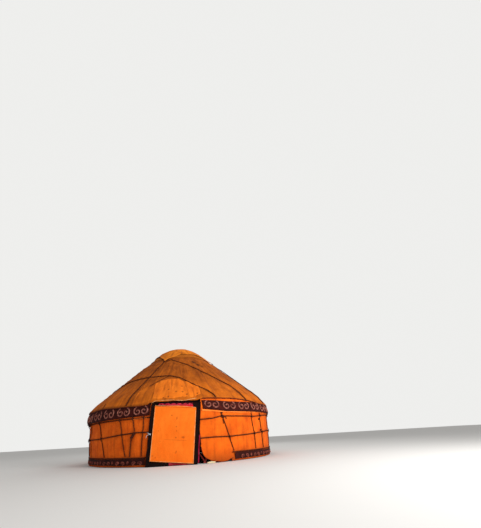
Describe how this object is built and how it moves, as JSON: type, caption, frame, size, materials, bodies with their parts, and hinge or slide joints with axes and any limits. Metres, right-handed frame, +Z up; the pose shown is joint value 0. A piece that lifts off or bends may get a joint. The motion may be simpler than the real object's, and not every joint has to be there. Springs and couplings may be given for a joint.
{
  "type": "yurt",
  "caption": "Round felt tent with a red lattice wall, bent roof poles, domed crown ring, felt covers, ornamented eave band, ropes and a hanging door flap.",
  "frame": {"origin": "on the ground at the centre of the round wall", "axes": "+Z up, the doorway looks along -Y, +X to the right of somebody who faces the door from outside"},
  "size_m": [5.6947, 5.6709, 3.5555],
  "materials": {
    "lattice_paint": "matte red paint, worn",
    "pole_paint": "matte red paint, worn",
    "crown_paint": "matte red paint, worn",
    "pole_band": "woven wool",
    "inner_rope": "twisted hair",
    "door_paint": "dark red paint, worn",
    "door_felt": "woven cover over felt, hemmed",
    "valance": "woven and stitched",
    "wall_felt": "pressed wool felt",
    "roof_felt": "pressed wool felt",
    "crown_felt": "pressed wool felt",
    "eave_band": "felt with sewn ornament",
    "base_band": "felt with sewn ornament",
    "outer_rope": "twisted hair"
  },
  "bodies": {
    "tent": {"lattice_front_right": "lattice_paint", "lattice_right_front": "lattice_paint", "lattice_right_back": "lattice_paint", "lattice_back": "lattice_paint", "lattice_left_back": "lattice_paint", "lattice_left_front": "lattice_paint", "lattice_front_left": "lattice_paint", "roof_poles_front": "pole_paint", "roof_poles_right": "pole_paint", "roof_poles_back": "pole_paint", "roof_poles_left": "pole_paint", "crown_ring": "crown_paint", "crown_bars_lower": "crown_paint", "crown_bars_upper": "crown_paint", "pole_band": "pole_band", "pole_ropes": "inner_rope", "door_post_left": "door_paint", "door_post_right": "door_paint", "door_lintel": "door_paint", "door_threshold": "door_paint", "door_valance": "valance", "wall_felt_front_right": "wall_felt", "wall_felt_right_front": "wall_felt", "wall_felt_right_back": "wall_felt", "wall_felt_back": "wall_felt", "wall_felt_left_back": "wall_felt", "wall_felt_left_front": "wall_felt", "wall_felt_front_left": "wall_felt", "roof_felt_front": "roof_felt", "roof_felt_front_right": "roof_felt", "roof_felt_right": "roof_felt", "roof_felt_back_right": "roof_felt", "roof_felt_back": "roof_felt", "roof_felt_back_left": "roof_felt", "roof_felt_left": "roof_felt", "roof_felt_front_left": "roof_felt", "crown_cover": "crown_felt", "eave_band": "eave_band", "base_band": "base_band", "girth_rope_middle": "outer_rope", "girth_rope_upper": "outer_rope", "base_rope": "outer_rope", "tie_ropes": "outer_rope", "roof_ropes": "outer_rope"},
    "door_flap": {"door_flap": "door_felt"}
  },
  "joints": [
    {"name": "door_flap_hinge", "type": "hinge", "parent": "tent", "child": "door_flap", "pos_m": [0.05386, -2.808, 1.276], "axis": [-0.9954, 0, 0.0958], "range_deg": [0, 85]}
  ]
}
